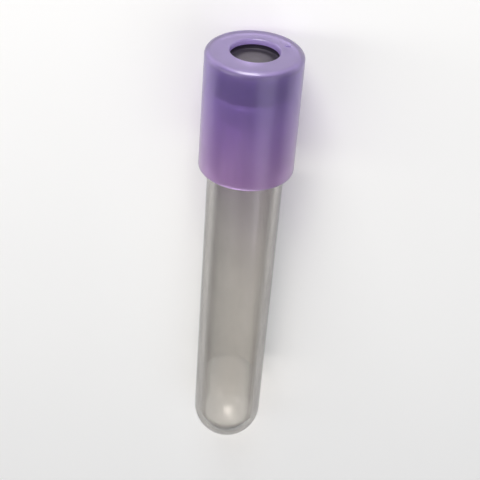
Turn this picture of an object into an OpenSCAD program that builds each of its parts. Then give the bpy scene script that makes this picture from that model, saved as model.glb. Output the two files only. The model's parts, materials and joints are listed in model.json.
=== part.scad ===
// Evacuated blood collection tube with a two-piece push-in closure.
// Millimetres, +Z up. The tube lies along +X with its closure at +X, as it comes to
// rest on a flat surface: on its round end and on the lower edge of the closure's skirt.
// The origin is on that surface, under the middle of the whole.
// Each piece is first modelled upright: z is the distance from the round end.

/* [Tube] */
// Length from the round end to the mouth
tube_length = 75; // [70:1:100]
// Outer diameter at the mouth
mouth_d = 13.0; // [12.6:0.1:13.4]
// Outer diameter where the round end begins, smaller by the draft of the mould
end_d = 12.3; // [12:0.1:12.5]
// Wall thickness at the mouth
mouth_wall = 1.05; // [0.9:0.05:1.2]
// Wall thickness of the round end
end_wall = 1.2; // [1:0.05:1.4]

/* [Shield] */
// Outer diameter of the shield
shield_d = 16.0; // [15.8:0.1:16.4]
// Height of the shield, from its skirt's lower edge to its top
shield_height = 21.3; // [18:0.1:24]
// Distance from the tube's mouth up to the shield's top
shield_rise = 6.0; // [5.6:0.1:6.4]
// Wall thickness of the skirt
skirt_wall = 1.0; // [0.9:0.05:1.1]
// Thickness of the top wall
top_wall = 0.9; // [0.7:0.05:1.1]
// Diameter of the hole in the top wall
aperture_d = 8.0; // [7:0.1:8.4]
// Radius of the rounded top edge
top_edge_r = 1.0; // [0.6:0.1:1.3]

/* [Stopper] */
// Length of the plug below the tube's mouth
plug_length = 5.4; // [4:0.1:6.5]
// Diameter of the hollow in the plug's underside
recess_d = 6.6; // [5:0.1:7.2]
// Depth of the well around the domed target, below the flange's top
well_depth = 1.0; // [0.6:0.1:1.4]
// Height of the domed target in the well
target_rise = 0.6; // [0.3:0.05:0.8]

/* [Label] */
// Height of the label's lower edge above the round end
label_from = 14; // [10:1:20]
// Length of the label along the tube
label_length = 41; // [20:1:42]
// How far the label wraps around the tube, in degrees
label_wrap = 150; // [90:5:330]
// Turn of the label's middle from the underside, in degrees
label_turn = 0; // [-180:5:180]
// Thickness of the label
label_thickness = 0.08; // [0.05:0.01:0.12]

/* [Hidden] */
$fn = 96;

// tube
end_r = end_d / 2;
mouth_r = mouth_d / 2;
bore_r = mouth_r - mouth_wall;          // seat of the plug, a true cylinder
end_bore_r = end_r - end_wall;
seat_length = plug_length + 1.6;        // length of that cylinder
lip_r = 0.25;
gate_r = [0.6, 1.0];                    // fine ring around the moulding gate

// shield
shield_r = shield_d / 2;
shield_top = tube_length + shield_rise;
skirt_low = shield_top - shield_height;
skirt_r = shield_r - skirt_wall;
skirt_edge_r = 0.3;
aperture_r = aperture_d / 2;
aperture_edge_r = 0.3;
bead_r = 0.45;                          // ring that keeps the stopper in the shield
bead_reach = 0.15;                      // how far it stands in from the skirt's wall
mark_r = 0.45;                          // small moulding mark on the top face
mark_height = 0.1;
mark_at = 5.7;
mark_turn = -64;

// stopper
seat_gap = 0.03;                        // radial, plug in bore
lip_gap = 0.02;                         // flange over the tube's lip
side_gap = 0.05;                        // radial, flange in shield
flange_low = tube_length + lip_gap;
flange_top = shield_top - top_wall;
flange_r = skirt_r - side_gap;
flange_edge_r = 0.35;
plug_r = bore_r - seat_gap;
plug_low = tube_length - plug_length;
recess_r = recess_d / 2;
recess_dome = 1.0;
recess_top = tube_length - 0.2;         // where the recess's dome begins
well_r = aperture_r + 0.4;
target_r = aperture_r - 0.4;

// The line that the object rests on touches the round end, a ball of end_r, and the
// skirt's rounded lower edge, so the axis rises a little towards the closure.
rest_run = skirt_low + skirt_edge_r - end_r;
rest_fall = shield_r - skirt_edge_r;
tilt = atan2(rest_fall, rest_run) - asin((end_r - skirt_edge_r) / norm([rest_run, rest_fall]));
x_low = end_r * (cos(tilt) - 1);
x_high = (shield_top - top_edge_r) * cos(tilt) + (shield_r - top_edge_r) * sin(tilt) + top_edge_r;

// The seams of the bodies of revolution are kept on top, clear of the line of rest.
seam = 180;
tube_seam = 182.8125;

// outer radius of the tube's cone at height z
function tube_r(z) = end_r + (mouth_r - end_r) * (z - end_r) / (tube_length - end_r);

// radius of a ball that gives a cap of height h over a circle of radius r
function cap_ball_r(r, h) = (r * r + h * h) / (2 * h);

// lays an upright piece down at its place of rest
module lie() {
    translate([-(x_low + x_high) / 2, 0, end_r * (1 - sin(tilt))])
        rotate([0, 90 - tilt, 0])
            children();
}

// half of a section, kept on the positive side of the axis
module half_section(low, high) {
    intersection() {
        children();
        translate([0, low])
            square([20, high - low]);
    }
}

module tube() {
    outer_lip = tube_r(tube_length) - lip_r;
    color([0.80, 0.79, 0.77, 0.45])
        lie()
            rotate([0, 0, tube_seam])
            rotate_extrude()
                difference() {
                    union() {
                        half_section(0, end_r)
                            translate([0, end_r])
                                circle(end_r);
                        polygon([
                            [0, end_r], [end_r, end_r],
                            [tube_r(tube_length - lip_r), tube_length - lip_r],
                            [outer_lip, tube_length], [0, tube_length]
                        ]);
                        translate([outer_lip, tube_length - lip_r])
                            circle(lip_r, $fn = 32);
                    }
                    half_section(0, end_r)
                        translate([0, end_r])
                            circle(end_bore_r);
                    polygon([
                        [0, end_r], [end_bore_r, end_r],
                        [bore_r - 0.15, tube_length - seat_length - 1],
                        [bore_r, tube_length - seat_length],
                        [bore_r, tube_length - 0.3],
                        [bore_r + 0.3, tube_length],
                        [bore_r + 0.3, tube_length + 1],
                        [0, tube_length + 1]
                    ]);
                    translate([gate_r[0], -1])
                        square([gate_r[1] - gate_r[0], 1.18]);
                }
}

module stopper_section() {
    difference() {
        union() {
            // flange, with rounded corners
            translate([0, flange_low])
                square([flange_r - flange_edge_r, flange_top - flange_low]);
            translate([0, flange_low + flange_edge_r])
                square([flange_r, flange_top - flange_low - 2 * flange_edge_r]);
            for (z = [flange_low + flange_edge_r, flange_top - flange_edge_r])
                translate([flange_r - flange_edge_r, z])
                    circle(flange_edge_r, $fn = 32);
            // plug, with a lead-in at its lower end
            polygon([
                [0, plug_low], [plug_r - 0.9, plug_low],
                [plug_r - 0.35, plug_low + 0.35], [plug_r, plug_low + 1.5],
                [plug_r, flange_low + 0.1], [0, flange_low + 0.1]
            ]);
        }
        // hollow underside with a domed end
        translate([0, plug_low - 1])
            square([recess_r, recess_top - plug_low + 1]);
        half_section(recess_top - 0.01, recess_top + recess_dome + 0.1)
            translate([0, recess_top + recess_dome - cap_ball_r(recess_r, recess_dome)])
                circle(cap_ball_r(recess_r, recess_dome));
        // well in the top, around the domed target
        difference() {
            translate([0, flange_top - well_depth])
                square([well_r, well_depth + 1]);
            half_section(flange_top - well_depth - 0.1, flange_top)
                translate([0, flange_top - well_depth + target_rise - cap_ball_r(target_r, target_rise)])
                    circle(cap_ball_r(target_r, target_rise), $fn = 192);
        }
    }
}

module stopper() {
    color([0.24, 0.22, 0.25])
        lie()
            rotate([0, 0, tube_seam])
            rotate_extrude()
                stopper_section();
}

module shield_section() {
    difference() {
        union() {
            // outside, with a rounded top edge and an eased lower edge
            translate([0, skirt_low + skirt_edge_r])
                square([shield_r, shield_height - top_edge_r - skirt_edge_r]);
            translate([0, skirt_low])
                square([shield_r - skirt_edge_r, shield_height]);
            translate([0, shield_top - 2 * top_edge_r])
                square([shield_r - top_edge_r, 2 * top_edge_r]);
            translate([shield_r - top_edge_r, shield_top - top_edge_r])
                circle(top_edge_r);
            translate([shield_r - skirt_edge_r, skirt_low + skirt_edge_r])
                circle(skirt_edge_r, $fn = 32);
        }
        // the square corner left over above the rounded top edge
        difference() {
            translate([shield_r - top_edge_r, shield_top - top_edge_r])
                square([top_edge_r + 1, top_edge_r + 1]);
            translate([shield_r - top_edge_r, shield_top - top_edge_r])
                circle(top_edge_r);
        }
        // inside of the skirt
        difference() {
            translate([0, skirt_low - 1])
                square([skirt_r, flange_top - skirt_low + 1]);
            translate([skirt_r + bead_r - bead_reach, flange_low - 0.15 - bead_r])
                circle(bead_r, $fn = 48);
        }
        // hole in the top wall, eased at its upper edge
        translate([0, flange_top - 1])
            square([aperture_r, top_wall + 2]);
        difference() {
            translate([aperture_r - 1, shield_top - aperture_edge_r])
                square([aperture_edge_r + 1, aperture_edge_r + 1]);
            translate([aperture_r + aperture_edge_r, shield_top - aperture_edge_r])
                circle(aperture_edge_r, $fn = 48);
        }
    }
}

module shield() {
    color([0.58, 0.50, 0.71, 0.85])
        lie() {
            union() {
                rotate([0, 0, seam])
                    rotate_extrude()
                        shield_section();
                // small moulding mark on the top face
                rotate([0, 0, mark_turn])
                    translate([mark_at, 0, shield_top - 0.3])
                        cylinder(h = 0.3 + mark_height, r = mark_r);
            }
        }
}

module label() {
    low = tube_r(label_from) + 0.01;
    high = tube_r(label_from + label_length) + 0.01;
    color([0.93, 0.93, 0.92])
        lie()
            rotate([0, 0, label_turn - label_wrap / 2])
                rotate_extrude(angle = label_wrap)
                    polygon([
                        [low, label_from], [low + label_thickness, label_from],
                        [high + label_thickness, label_from + label_length],
                        [high, label_from + label_length]
                    ]);
}

tube();
stopper();
shield();
label();
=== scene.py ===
import json
import math

import bpy
from mathutils import Matrix, Vector


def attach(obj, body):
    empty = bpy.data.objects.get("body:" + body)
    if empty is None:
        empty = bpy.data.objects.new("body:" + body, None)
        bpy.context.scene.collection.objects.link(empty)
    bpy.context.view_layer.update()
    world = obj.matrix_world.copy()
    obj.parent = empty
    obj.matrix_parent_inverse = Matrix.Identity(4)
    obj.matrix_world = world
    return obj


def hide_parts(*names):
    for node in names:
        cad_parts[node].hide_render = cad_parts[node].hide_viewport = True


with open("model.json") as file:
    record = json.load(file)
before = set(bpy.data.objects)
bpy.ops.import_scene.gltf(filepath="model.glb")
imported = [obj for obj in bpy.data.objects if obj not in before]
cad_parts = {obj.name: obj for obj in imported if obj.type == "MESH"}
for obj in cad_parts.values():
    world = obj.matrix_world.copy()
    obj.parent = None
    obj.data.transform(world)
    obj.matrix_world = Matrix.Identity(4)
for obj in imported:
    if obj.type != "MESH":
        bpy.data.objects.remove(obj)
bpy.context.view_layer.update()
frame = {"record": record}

MM = 0.001

# ------------------------------------------------------------------ the tube's own axes
# The record's mount on the closure's top gives the axis, and a point that is
# 81 mm from the round end and 5.5 mm above the axis.
mounts = {m["name"]: m for m in frame["record"]["mounts"]}
A = Vector(mounts["cap_top"]["axis"]).normalized()      # along the tube, towards its closure
N = Vector((-A.z, 0.0, A.x))                            # square to it, upwards
Y = Vector((0.0, 1.0, 0.0))
ORIGIN = Vector(mounts["cap_top"]["pos_m"]) - N * 5.5 * MM - A * 81.0 * MM


def at(s, r=0.0, turn=0.0):
    """A point s mm from the round end and r mm off the axis, turn degrees round from the underside."""
    q = math.radians(turn)
    return ORIGIN + A * (s * MM) + (Y * math.sin(q) - N * math.cos(q)) * (r * MM)


# ------------------------------------------------------------------ sizes, in mm, as the frame has them
END_R, MOUTH_R, LENGTH = 6.15, 6.5, 75.0
BORE_R, END_BORE_R = 5.45, 4.95
SHIELD_R, SHIELD_TOP, SKIRT_LOW, SKIRT_R = 8.0, 81.0, 59.7, 7.0
FLANGE_LOW, FLANGE_TOP, FLANGE_R = 75.02, 80.1, 6.95
PLUG_R, PLUG_LOW = 5.42, 69.6


def tube_r(s):
    return END_R + (MOUTH_R - END_R) * (s - END_R) / (LENGTH - END_R)


def arc(cr, cs, r, a0, a1, n):
    """Points (radius, station) on an arc about (cr, cs), angles in degrees from outwards towards the closure."""
    return [
        (cr + r * math.cos(math.radians(a0 + (a1 - a0) * i / n)), cs + r * math.sin(math.radians(a0 + (a1 - a0) * i / n)))
        for i in range(n + 1)
    ]


def line(p, q, n):
    """Points from p to q, without q."""
    return [(p[0] + (q[0] - p[0]) * i / n, p[1] + (q[1] - p[1]) * i / n) for i in range(n)]


# ------------------------------------------------------------------ mesh making
def make(name, verts, faces, mat, body, nodes=(), slot=None, sharp=28.0):
    me = bpy.data.meshes.new(name)
    me.from_pydata([tuple(v) for v in verts], [], faces)
    me.validate()
    me.update()
    ob = bpy.data.objects.new(name, me)
    bpy.context.scene.collection.objects.link(ob)
    me.materials.append(mat)
    for p in me.polygons:
        p.use_smooth = True
    me.set_sharp_from_angle(angle=math.radians(sharp))
    if nodes:
        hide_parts(*nodes)
    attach(ob, body)
    return ob


def lathe(profile, turns=192, seam=180.0):
    """Vertices and faces of a body of revolution. A profile that starts and ends on the axis is
    closed by it; any other is a ring that closes on itself. It runs so that the faces look outwards."""
    clean = []
    for p in profile:
        if not clean or math.hypot(p[0] - clean[-1][0], p[1] - clean[-1][1]) > 1e-4:
            clean.append((max(p[0], 0.0), p[1]))
    ring = clean[0][0] > 1e-5
    if ring and math.hypot(clean[0][0] - clean[-1][0], clean[0][1] - clean[-1][1]) < 1e-4:
        clean.pop()
    verts, rows = [], []
    for r, s in clean:
        if r < 1e-5:
            rows.append([len(verts)] * turns)
            verts.append(at(s))
        else:
            rows.append(list(range(len(verts), len(verts) + turns)))
            verts += [at(s, r, seam + 360.0 * k / turns) for k in range(turns)]
    faces = []
    pairs = list(zip(rows, rows[1:])) + ([(rows[-1], rows[0])] if ring else [])
    for lo, hi in pairs:
        for k in range(turns):
            j = (k + 1) % turns
            quad = [lo[k], hi[k], hi[j], lo[j]]
            face = [v for i, v in enumerate(quad) if v not in quad[:i]]
            if len(face) > 2:
                faces.append(face)
    return verts, faces


def outward(verts, faces):
    """Turns the faces over if the solid's volume comes out negative."""
    vol = 0.0
    for f in faces:
        for i in range(1, len(f) - 1):
            vol += verts[f[0]].dot(verts[f[i]].cross(verts[f[i + 1]]))
    return faces if vol > 0 else [list(reversed(f)) for f in faces]


def solid(profile, turns=192, seam=180.0):
    verts, faces = lathe(profile, turns, seam)
    return verts, outward(verts, faces)


def join(*parts):
    verts, faces = [], []
    for v, f in parts:
        n = len(verts)
        verts += list(v)
        faces += [[i + n for i in face] for face in f]
    return verts, faces


# ------------------------------------------------------------------ materials
class Mat:
    """A procedural material in the making: nodes by short calls, the object's own coordinates in metres."""

    def __init__(self, name):
        self.m = bpy.data.materials.new(name)
        self.m.use_nodes = True
        self.nt = self.m.node_tree
        self.nt.nodes.clear()
        self.out = self.nt.nodes.new("ShaderNodeOutputMaterial")
        self.p = self.nt.nodes.new("ShaderNodeBsdfPrincipled")
        self.nt.links.new(self.p.outputs[0], self.out.inputs[0])
        self.co = self.nt.nodes.new("ShaderNodeTexCoord").outputs["Object"]

    def set(self, **kw):
        for k, v in kw.items():
            self.p.inputs[k.replace("_", " ")].default_value = v
        return self

    def along(self, stretch=(1, 1, 1)):
        n = self.nt.nodes.new("ShaderNodeMapping")
        n.vector_type = "POINT"
        n.inputs["Scale"].default_value = stretch
        self.nt.links.new(self.co, n.inputs["Vector"])
        return n.outputs[0]

    def noise(self, scale, detail=3.0, rough=0.55, vec=None, w=0.0):
        n = self.nt.nodes.new("ShaderNodeTexNoise")
        n.noise_dimensions = "4D"
        n.inputs["W"].default_value = w
        n.inputs["Scale"].default_value = scale
        n.inputs["Detail"].default_value = detail
        n.inputs["Roughness"].default_value = rough
        self.nt.links.new(vec or self.co, n.inputs["Vector"])
        return n.outputs[0]

    def ramp(self, fac, stops, kind="LINEAR"):
        n = self.nt.nodes.new("ShaderNodeValToRGB")
        n.color_ramp.interpolation = kind
        e = n.color_ramp.elements
        while len(e) < len(stops):
            e.new(0.5)
        for i, (pos, col) in enumerate(stops):
            e[i].position = pos
            e[i].color = col if len(col) == 4 else (*col, 1.0)
        self.nt.links.new(fac, n.inputs[0])
        return n.outputs[0]

    def span(self, fac, a, b, lo=0.0, hi=1.0):
        n = self.nt.nodes.new("ShaderNodeMapRange")
        n.inputs["From Min"].default_value = lo
        n.inputs["From Max"].default_value = hi
        n.inputs["To Min"].default_value = a
        n.inputs["To Max"].default_value = b
        self.nt.links.new(fac, n.inputs["Value"])
        return n.outputs[0]

    def math(self, op, a, b=None):
        n = self.nt.nodes.new("ShaderNodeMath")
        n.operation = op
        for i, v in enumerate((a, b)):
            if v is None:
                continue
            if isinstance(v, (int, float)):
                n.inputs[i].default_value = v
            else:
                self.nt.links.new(v, n.inputs[i])
        return n.outputs[0]

    def station(self):
        """How far a point is from the round end, in mm, along the tube."""
        n = self.nt.nodes.new("ShaderNodeVectorMath")
        n.operation = "DOT_PRODUCT"
        n.inputs[1].default_value = A / MM
        self.nt.links.new(self.co, n.inputs[0])
        return self.math("SUBTRACT", n.outputs["Value"], ORIGIN.dot(A) / MM)

    def radius(self):
        """How far a point is from the axis, in mm."""
        n = self.nt.nodes.new("ShaderNodeVectorMath")
        n.operation = "SUBTRACT"
        n.inputs[1].default_value = ORIGIN
        self.nt.links.new(self.co, n.inputs[0])
        c = self.nt.nodes.new("ShaderNodeVectorMath")
        c.operation = "CROSS_PRODUCT"
        c.inputs[1].default_value = A / MM
        self.nt.links.new(n.outputs["Vector"], c.inputs[0])
        d = self.nt.nodes.new("ShaderNodeVectorMath")
        d.operation = "LENGTH"
        self.nt.links.new(c.outputs["Vector"], d.inputs[0])
        return d.outputs["Value"]

    def mix(self, fac, a, b, kind="MIX"):
        n = self.nt.nodes.new("ShaderNodeMix")
        n.data_type = "RGBA"
        n.blend_type = kind
        for i, v in ((0, fac), (6, a), (7, b)):
            if isinstance(v, (int, float)):
                n.inputs[i].default_value = v
            elif isinstance(v, tuple):
                n.inputs[i].default_value = (*v, 1.0)
            else:
                self.nt.links.new(v, n.inputs[i])
        return n.outputs[2]

    def edge_on(self, blend):
        n = self.nt.nodes.new("ShaderNodeLayerWeight")
        n.inputs["Blend"].default_value = blend
        return n.outputs["Facing"]

    def bump(self, height, strength, distance, below=None):
        n = self.nt.nodes.new("ShaderNodeBump")
        n.inputs["Strength"].default_value = strength
        n.inputs["Distance"].default_value = distance
        self.nt.links.new(height, n.inputs["Height"])
        if below is not None:
            self.nt.links.new(below, n.inputs["Normal"])
        return n.outputs[0]

    def to(self, name, socket):
        self.nt.links.new(socket, self.p.inputs[name])
        return self

    def lets_lamps_through(self, colour):
        """Shadow rays go through it, tinted, so that a clear wall doesn't cast a solid shadow."""
        mix = self.nt.nodes.new("ShaderNodeMixShader")
        path = self.nt.nodes.new("ShaderNodeLightPath")
        clear = self.nt.nodes.new("ShaderNodeBsdfTransparent")
        clear.inputs[0].default_value = (*colour, 1.0)
        self.nt.links.new(path.outputs["Is Shadow Ray"], mix.inputs[0])
        self.nt.links.new(self.p.outputs[0], mix.inputs[1])
        self.nt.links.new(clear.outputs[0], mix.inputs[2])
        self.nt.links.new(mix.outputs[0], self.out.inputs[0])
        return self


def clear_plastic():
    k = Mat("clear_plastic")
    broad = k.noise(60.0, 2.0, 0.5, w=1.3)
    fine = k.noise(900.0, 4.0, 0.6, k.along((0.18, 1, 1)), w=4.1)
    tint = k.ramp(broad, [(0.25, (0.730, 0.716, 0.690)), (0.75, (0.784, 0.770, 0.745))])
    # painted shade: the base colour darkens where the wall is seen edge-on, drawing dark lines along the tube's sides;
    # light that crosses the wall edge-on also goes through more of it
    painted_edge_shade = k.ramp(k.edge_on(0.5), [(0.40, (1.0, 1.0, 1.0)), (0.53, (0.62, 0.60, 0.58)), (0.72, (0.32, 0.30, 0.29)), (0.92, (0.20, 0.19, 0.18))])
    k.to("Base Color", k.mix(1.0, tint, painted_edge_shade, "MULTIPLY"))
    k.to("Roughness", k.span(k.math("MULTIPLY", broad, fine), 0.06, 0.22, 0.12, 0.42))
    swell = k.bump(k.noise(140.0, 1.0, 0.4, k.along((0.25, 1, 1)), w=2.0), 0.25, 0.00006)
    k.to("Normal", k.bump(fine, 0.08, 0.00002, swell))
    k.set(IOR=1.57, Transmission_Weight=0.93)
    k.lets_lamps_through((0.88, 0.87, 0.86))
    return k.m


def lavender_plastic():
    k = Mat("lavender_plastic")
    cloud = k.noise(150.0, 2.0, 0.5, w=0.7)
    flow = k.noise(360.0, 2.0, 0.5, k.along((0.14, 1, 1)), w=3.3)
    grain = k.noise(5200.0, 2.0, 0.5, w=6.0)
    tone = k.math("ADD", k.math("MULTIPLY", cloud, 0.4), k.math("MULTIPLY", flow, 0.6))
    s = k.station()
    # painted light: the top wall gets its own greyer copy of the lavender, for how it looks in the light from above
    top = k.ramp(tone, [(0.30, (0.425, 0.340, 0.625)), (0.52, (0.470, 0.378, 0.670)), (0.75, (0.520, 0.420, 0.712))])
    upper = k.ramp(tone, [(0.30, (0.430, 0.300, 0.750)), (0.52, (0.480, 0.340, 0.800)), (0.75, (0.535, 0.385, 0.840))])
    lower = k.ramp(tone, [(0.30, (0.565, 0.350, 0.650)), (0.52, (0.615, 0.392, 0.690)), (0.75, (0.665, 0.436, 0.726))])
    # painted light: the skirt is a little warmer towards its lower edge, where warm light from around it shows through
    side = k.mix(k.span(s, 1.0, 0.0, 58.0, 77.0), upper, lower)
    body = k.mix(k.span(s, 0.0, 1.0, 79.4, 80.4), side, top)
    # the lower edge gathers light from the whole wall, so it is toned down
    k.to("Base Color", k.mix(k.span(s, 1.0, 0.0, 59.9, 60.2), body, (0.50, 0.40, 0.56)))
    k.to("Roughness", k.span(flow, 0.29, 0.38, 0.25, 0.75))
    under = k.bump(flow, 0.06, 0.00001)
    k.to("Normal", k.bump(grain, 0.04, 0.000004, under))
    # the flange is pressed against the wall and shows dark through it; the skirt below is hazier,
    # and the top wall and its rounded edge let the least light through
    k.to("Transmission Weight", k.math("ADD", k.span(s, 0.87, 0.900, 74.9, 75.1), k.span(s, 0.0, -0.055, 78.4, 80.3)))
    k.set(IOR=1.48, Coat_Weight=0.35, Coat_Roughness=0.17)
    k.lets_lamps_through((0.54, 0.45, 0.62))
    return k.m


def dark_rubber():
    k = Mat("dark_rubber")
    cloud = k.noise(260.0, 3.0, 0.6, w=0.4)
    grain = k.noise(3600.0, 4.0, 0.65, w=8.0)
    tone = k.ramp(k.math("ADD", k.math("MULTIPLY", cloud, 0.7), k.math("MULTIPLY", grain, 0.3)),
                  [(0.3, (0.040, 0.034, 0.043)), (0.7, (0.070, 0.062, 0.074))])
    # painted shade: the rubber is darker in a ring towards the wall of the well, where the well shades it, so the
    # middle of the target stays lighter
    k.to("Base Color", k.mix(k.span(k.radius(), 0.0, 1.0, 2.2, 3.3), tone, (0.016, 0.013, 0.020)))
    k.to("Roughness", k.span(grain, 0.50, 0.68, 0.3, 0.7))
    k.to("Normal", k.bump(grain, 0.35, 0.00003, k.bump(cloud, 0.2, 0.0001)))
    k.set(IOR=1.52)
    return k.m


def label_film():
    k = Mat("label_film")
    cloud = k.noise(90.0, 3.0, 0.55, w=2.2)
    fibre = k.noise(2400.0, 3.0, 0.6, k.along((0.45, 1, 1)), w=5.0)
    k.to("Base Color", k.ramp(k.math("ADD", k.math("MULTIPLY", cloud, 0.7), k.math("MULTIPLY", fibre, 0.3)),
                              [(0.3, (0.73, 0.725, 0.71)), (0.7, (0.81, 0.805, 0.79))]))
    k.to("Roughness", k.span(fibre, 0.38, 0.55, 0.3, 0.7))
    k.to("Normal", k.bump(fibre, 0.25, 0.00002))
    k.set(IOR=1.47)
    return k.m


def pale_floor():
    k = Mat("pale_floor")
    cloud = k.noise(9.0, 3.0, 0.5, w=1.0)
    fine = k.noise(700.0, 3.0, 0.6, w=2.0)
    k.to("Base Color", k.ramp(cloud, [(0.3, (0.845, 0.838, 0.828)), (0.7, (0.875, 0.868, 0.858))]))
    k.to("Roughness", k.span(fine, 0.55, 0.7, 0.3, 0.7))
    k.to("Normal", k.bump(fine, 0.08, 0.00005))
    return k.m


PLASTIC, LAVENDER, RUBBER, FILM = clear_plastic(), lavender_plastic(), dark_rubber(), label_film()

# ------------------------------------------------------------------ the tube, one moulding
lip = 0.25
outer_lip = tube_r(LENGTH) - lip
dome = arc(0, END_R, END_R, -90, 0, 56)
gate_in, gate_out = 0.6, 1.0
low = lambda r: END_R - math.sqrt(END_R * END_R - r * r)
profile = [p for p in dome if p[0] < gate_in - 0.1]
profile += [(gate_in - 0.05, low(gate_in - 0.05)), (gate_in, low(gate_in) + 0.04), (gate_in + 0.02, 0.15), (gate_in + 0.06, 0.18)]
profile += [(gate_out - 0.06, 0.18), (gate_out - 0.02, 0.15), (gate_out, low(gate_out) + 0.04), (gate_out + 0.05, low(gate_out + 0.05))]
profile += [p for p in dome if p[0] > gate_out + 0.1]
profile += line((END_R, END_R), (tube_r(LENGTH - lip), LENGTH - lip), 24)[1:]
profile += arc(outer_lip, LENGTH - lip, lip, 0, 90, 10)
profile += [(BORE_R + 0.36, LENGTH), (BORE_R + 0.26, LENGTH - 0.04), (BORE_R + 0.04, LENGTH - 0.26), (BORE_R, LENGTH - 0.36)]
profile += [(BORE_R, LENGTH - 7.0 + 0.1), (BORE_R - 0.01, LENGTH - 7.1), (BORE_R - 0.14, LENGTH - 7.9), (BORE_R - 0.152, LENGTH - 8.1)]
profile += line((BORE_R - 0.152, LENGTH - 8.1), (END_BORE_R, END_R), 20)[1:]
profile += arc(0, END_R, END_BORE_R, 0, -90, 48)
make("tube_moulding", *solid(profile), PLASTIC, "tube", ["tube"], "clear_plastic")

# ------------------------------------------------------------------ the stopper, one moulding
FLANGE_TOP -= 0.04      # a hair below the top wall, so that no two faces share a plane
e = 0.12
profile = arc(0, 75.8 - 5.945, 5.945, 90, 90 - math.degrees(math.asin(3.3 / 5.945)), 16)
profile += [(3.3, 74.7), (3.3, PLUG_LOW + e)] + arc(3.3 + e, PLUG_LOW + e, e, 180, 270, 5)
profile += [(4.45, PLUG_LOW), (4.56, PLUG_LOW + 0.03), (5.03, PLUG_LOW + 0.34), (5.10, PLUG_LOW + 0.42)]
profile += [(5.39, 71.0), (PLUG_R, 71.3), (PLUG_R, FLANGE_LOW)]
profile += [(FLANGE_R - 0.35, FLANGE_LOW)] + arc(FLANGE_R - 0.35, FLANGE_LOW + 0.35, 0.35, -90, 0, 8)
profile += line((FLANGE_R, FLANGE_LOW + 0.35), (FLANGE_R, FLANGE_TOP - 0.35), 5)[1:]
profile += arc(FLANGE_R - 0.35, FLANGE_TOP - 0.35, 0.35, 0, 90, 8)
profile += arc(4.4 + e, FLANGE_TOP - e, e, 90, 180, 5)
profile += [(4.4, 79.1 + 0.25)] + [(4.4 - 0.25 * (1 - math.cos(math.radians(q))), 79.35 - 0.25 * math.sin(math.radians(q))) for q in (22, 45, 67, 90)]
profile += [(3.75, 79.1), (3.62, 79.11)]
profile += arc(0, 79.7 - 11.1, 11.1, 90 - math.degrees(math.asin(3.5 / 11.1)), 90, 28)
make("stopper_moulding", *solid(profile), RUBBER, "closure", ["stopper"], "dark_rubber")

# ------------------------------------------------------------------ the shield, one moulding with its small mark
profile = arc(7.7, 60.0, 0.3, -90, 0, 8)
profile += line((SHIELD_R, 60.0), (SHIELD_R, 80.0), 26)[1:]
profile += arc(7.0, 80.0, 1.0, 0, 90, 20)
profile += line((7.0, 81.0), (4.3, 81.0), 6)[1:]
profile += arc(4.3, 80.7, 0.3, 90, 180, 8)
profile += [(4.0, 80.1), (6.8, 80.1), (6.94, 80.04), (SKIRT_R, 79.9)]
profile += line((SKIRT_R, 79.9), (SKIRT_R, 74.86), 6)[1:]
# the low bead that keeps the stopper in, blended into the wall
profile += [(SKIRT_R - 0.15 * math.cos(math.pi * i / 24) ** 2, 74.42 - 0.44 * i / 12) for i in range(-12, 13)]
profile += line((SKIRT_R, 73.98), (SKIRT_R, SKIRT_LOW + 0.1), 18)[1:] + [(SKIRT_R, SKIRT_LOW + 0.08), (SKIRT_R + 0.08, SKIRT_LOW)]
cap = solid(profile)
# the mark: a low round button, let into the top wall
mark_at, mark_turn, mark_r = 5.7, -64.0, 0.45
c = at(0, mark_at, mark_turn) - at(0)
side = c.normalized()
across = A.cross(side)
rows = [(0.30, 80.9), (mark_r, 80.9), (mark_r, 81.04), (mark_r - 0.02, 81.08), (mark_r - 0.06, 81.1), (0.2, 81.1)]
verts, faces = [], []
turns = 40
for r, s in rows:
    verts += [at(s) + c + (side * math.cos(2 * math.pi * k / turns) + across * math.sin(2 * math.pi * k / turns)) * r * MM for k in range(turns)]
for i in range(len(rows) - 1):
    faces += [[i * turns + k, i * turns + (k + 1) % turns, (i + 1) * turns + (k + 1) % turns, (i + 1) * turns + k] for k in range(turns)]
for i, s in ((0, 80.9), (len(rows) - 1, 81.1)):
    verts.append(at(s) + c)
    hub = len(verts) - 1
    for k in range(turns):
        a, b2 = i * turns + k, i * turns + (k + 1) % turns
        faces.append([hub, b2, a] if i == 0 else [hub, a, b2])
cap = join(cap, (verts, outward(verts, faces)))
make("shield_moulding", *cap, LAVENDER, "closure", ["shield"], "lavender_plastic")

# ------------------------------------------------------------------ the label, a film with rounded corners
s0, s1, half, thick, corner = 14.0, 55.0, 75.0, 0.08, 1.6
cols, rows_n = 96, 36
verts, faces = [], []
grid = {}
for lay, off in ((0, 0.012), (1, 0.01 + thick)):
    for i in range(cols + 1):
        f = i / cols
        # columns crowd towards the edges, where the corners turn
        q = half * math.sin((f - 0.5) * math.pi)
        gap = math.radians(half - abs(q)) * tube_r(30.0)
        cut = corner - math.sqrt(max(corner * corner - (corner - gap) ** 2, 0.0)) if gap < corner else 0.0
        for j in range(rows_n + 1):
            s = (s0 + cut) + (s1 - s0 - 2 * cut) * j / rows_n
            grid[lay, i, j] = len(verts)
            verts.append(at(s, tube_r(s) + off, q))
for i in range(cols):
    for j in range(rows_n):
        faces.append([grid[1, i, j], grid[1, i + 1, j], grid[1, i + 1, j + 1], grid[1, i, j + 1]])
        faces.append([grid[0, i, j + 1], grid[0, i + 1, j + 1], grid[0, i + 1, j], grid[0, i, j]])
    for j, flip in ((0, True), (rows_n, False)):
        q4 = [grid[0, i, j], grid[0, i + 1, j], grid[1, i + 1, j], grid[1, i, j]]
        faces.append(q4 if flip else list(reversed(q4)))
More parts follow.
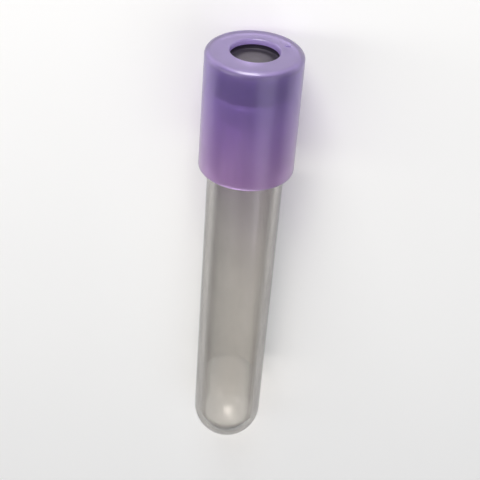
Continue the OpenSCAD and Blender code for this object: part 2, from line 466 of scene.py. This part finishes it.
for j in range(rows_n):
    for i, flip in ((0, False), (cols, True)):
        q4 = [grid[0, i, j], grid[0, i, j + 1], grid[1, i, j + 1], grid[1, i, j]]
        faces.append(list(reversed(q4)) if flip else q4)
make("label_film", verts, outward(verts, faces), FILM, "tube", ["label"], "label_film", 40)

# ------------------------------------------------------------------ floor, light and camera
size = 4.0
me = bpy.data.meshes.new("floor")
me.from_pydata([(-size, -size, 0), (size, -size, 0), (size, size, 0), (-size, size, 0)], [], [[0, 1, 2, 3]])
floor = bpy.data.objects.new("floor", me)
me.materials.append(pale_floor())
bpy.context.scene.collection.objects.link(floor)

world = bpy.data.worlds.new("soft")
bpy.context.scene.world = world
world.use_nodes = True
bg = world.node_tree.nodes["Background"]
bg.inputs[0].default_value = (0.80, 0.82, 0.86, 1.0)
bg.inputs[1].default_value = 0.32

MIDDLE = at(42.0)


def lamp(name, along, up, across, width, height, watts, colour=(1, 1, 1)):
    li = bpy.data.lights.new(name, "AREA")
    li.shape = "RECTANGLE"
    li.size, li.size_y = width, height
    li.energy = watts
    li.color = colour
    ob = bpy.data.objects.new(name, li)
    bpy.context.scene.collection.objects.link(ob)
    ob.location = MIDDLE + A * along + N * up + Y * across
    ob.rotation_euler = (MIDDLE - ob.location).to_track_quat("-Z", "Y").to_euler()
    return ob


lamp("key", 0.48, 0.19, 0.06, 0.28, 0.34, 3.9, (1.0, 0.985, 0.96))
lamp("fill", -0.10, 0.42, -0.30, 0.40, 0.40, 0.6, (0.93, 0.96, 1.0))
lamp("strip", 0.05, 0.26, 0.36, 0.10, 0.40, 0.5)

cam = bpy.data.cameras.new("camera")
cam.lens = 91.0
cam.sensor_width = 36.0
cam.clip_start, cam.clip_end = 0.01, 10.0
eye = at(81.0) + A * 0.085 + N * 0.173
aim = at(44.5)
look = (aim - eye).normalized()
u0 = (A - look * A.dot(look)).normalized()
r0 = look.cross(u0)
lean = math.radians(4.6)
up = u0 * math.cos(lean) - r0 * math.sin(lean)
right = look.cross(up)
camera = bpy.data.objects.new("camera", cam)
bpy.context.scene.collection.objects.link(camera)
camera.matrix_world = Matrix((
    (right.x, up.x, -look.x, eye.x),
    (right.y, up.y, -look.y, eye.y),
    (right.z, up.z, -look.z, eye.z),
    (0, 0, 0, 1),
))
bpy.context.scene.camera = camera
bpy.context.scene.view_settings.view_transform = "Standard"
